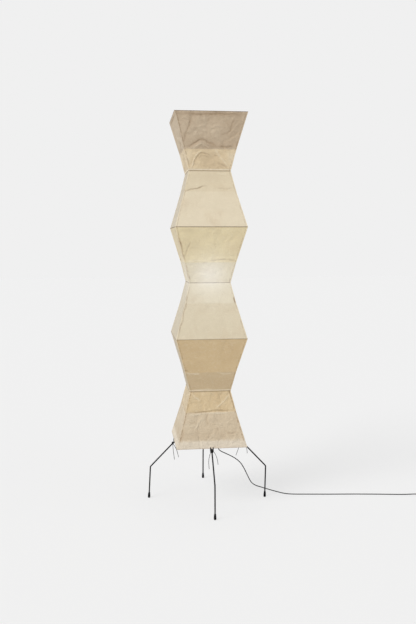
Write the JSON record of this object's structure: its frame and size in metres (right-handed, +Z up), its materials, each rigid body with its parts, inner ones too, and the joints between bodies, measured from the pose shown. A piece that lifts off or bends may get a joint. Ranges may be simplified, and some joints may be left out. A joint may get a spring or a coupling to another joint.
{
  "type": "paper lantern floor lamp",
  "caption": "Tall square accordion-folded paper shade with wire rings, on four bent black rod legs with rubber tips, with a mains cord, foot switch and plug.",
  "frame": {"origin": "on the floor under the mast, at the centre of the lamp's footprint", "axes": "+Z up, the front towards -Y, +X to the right as seen from the front"},
  "size_m": [1.6531, 0.6262, 1.93],
  "materials": {
    "paper": "matte, slightly translucent, folded",
    "ring_wire": "drawn wire",
    "leg_paint": "satin black paint",
    "foot_rubber": "matte",
    "string": "twisted black string",
    "hub_paint": "satin black paint",
    "screw_steel": "zinc plated",
    "mast_tube": "nickel plated tube",
    "cap_plastic": "moulded",
    "collar_metal": "turned",
    "nipple_brass": "turned",
    "holder_plastic": "moulded",
    "insulator": "unglazed",
    "bulb_glass": "frosted",
    "bulb_cap": "nickel plated",
    "bulb_filament": "coated filaments on a glass stem",
    "cord": "satin sheath",
    "switch_plastic": "moulded",
    "plug_plastic": "moulded",
    "pin_metal": "nickel plated brass",
    "coil_strap": "moulded strap"
  },
  "bodies": {
    "stand": {"paper_1": "paper", "ring_1": "ring_wire", "leg_front": "leg_paint", "leg_right": "leg_paint", "leg_back": "leg_paint", "leg_left": "leg_paint", "foot_tip_front": "foot_rubber", "foot_tip_right": "foot_rubber", "foot_tip_back": "foot_rubber", "foot_tip_left": "foot_rubber", "tie_front": "string", "tie_right": "string", "tie_back": "string", "tie_left": "string", "hub_body": "hub_paint", "hub_cover": "hub_paint", "mast_junction": "hub_paint", "cover_screws": "screw_steel", "grub_screws": "screw_steel", "switch_screws": "screw_steel", "mast_lower": "mast_tube", "mast_upper": "mast_tube", "holder_arm": "mast_tube", "mast_cap": "cap_plastic", "cord_gland": "cap_plastic", "holder_nipple": "nipple_brass", "holder_thread": "nipple_brass", "holder_contact": "nipple_brass", "holder_dome": "holder_plastic", "holder_shell": "holder_plastic", "holder_insulator": "insulator", "inner_lead": "cord", "cord_to_switch": "cord", "cord_to_coil": "cord", "cord_coil": "cord", "cord_to_plug": "cord", "switch_base": "switch_plastic", "switch_cover": "switch_plastic", "plug_body": "plug_plastic", "plug_pins": "pin_metal", "coil_tie": "coil_strap"},
    "ring_body_2": {"ring_2": "ring_wire", "paper_2": "paper"},
    "ring_body_3": {"ring_3": "ring_wire", "paper_3": "paper"},
    "ring_body_4": {"ring_4": "ring_wire", "paper_4": "paper"},
    "ring_body_5": {"ring_5": "ring_wire", "paper_5": "paper"},
    "ring_body_6": {"ring_6": "ring_wire", "paper_6": "paper"},
    "shade_top": {"ring_7": "ring_wire", "carrier_collar": "collar_metal", "carrier_spokes": "ring_wire"},
    "thumbscrew": {"carrier_thumbscrew": "collar_metal"},
    "bulb": {"bulb_cap": "bulb_cap", "bulb_glass": "bulb_glass", "bulb_filament_unit": "bulb_filament"},
    "button": {"switch_button": "switch_plastic"}
  },
  "joints": [
    {"name": "shade_fold", "type": "slide", "parent": "stand", "child": "shade_top", "axis": [0, 0, 1], "range_m": [-0.65, 0], "deforming": ["paper_6"]},
    {"name": "ring_2_slide", "type": "slide", "parent": "stand", "child": "ring_body_2", "axis": [0, 0, 1], "range_m": [-0.10883, 0], "deforming": ["paper_1"]},
    {"name": "ring_3_slide", "type": "slide", "parent": "stand", "child": "ring_body_3", "axis": [0, 0, 1], "range_m": [-0.21717, 0], "deforming": ["paper_2"]},
    {"name": "ring_4_slide", "type": "slide", "parent": "stand", "child": "ring_body_4", "axis": [0, 0, 1], "range_m": [-0.3255, 0], "deforming": ["paper_3"]},
    {"name": "ring_5_slide", "type": "slide", "parent": "stand", "child": "ring_body_5", "axis": [0, 0, 1], "range_m": [-0.43383, 0], "deforming": ["paper_4"]},
    {"name": "ring_6_slide", "type": "slide", "parent": "stand", "child": "ring_body_6", "axis": [0, 0, 1], "range_m": [-0.54217, 0], "deforming": ["paper_5"]},
    {"name": "thumbscrew_turn", "type": "hinge", "parent": "shade_top", "child": "thumbscrew", "pos_m": [0, 0, 1.9169], "axis": [0.7071, 0.7071, 0], "range_deg": [0, 540]},
    {"name": "bulb_unscrew", "type": "hinge", "parent": "stand", "child": "bulb", "pos_m": [0, -0.045, 1.12], "axis": [0, 0, 1], "range_deg": [0, 1080]},
    {"name": "switch_press", "type": "slide", "parent": "stand", "child": "button", "axis": [0, 0, 1], "range_m": [-0.0025, 0], "stiffness_N_per_m": 400, "springref_m": 0.0008}
  ],
  "couplings": [
    {"joint": "ring_2_slide", "follows": "shade_fold", "ratio": 0.16667},
    {"joint": "ring_3_slide", "follows": "shade_fold", "ratio": 0.33333},
    {"joint": "ring_4_slide", "follows": "shade_fold", "ratio": 0.5},
    {"joint": "ring_5_slide", "follows": "shade_fold", "ratio": 0.66667},
    {"joint": "ring_6_slide", "follows": "shade_fold", "ratio": 0.83333}
  ]
}
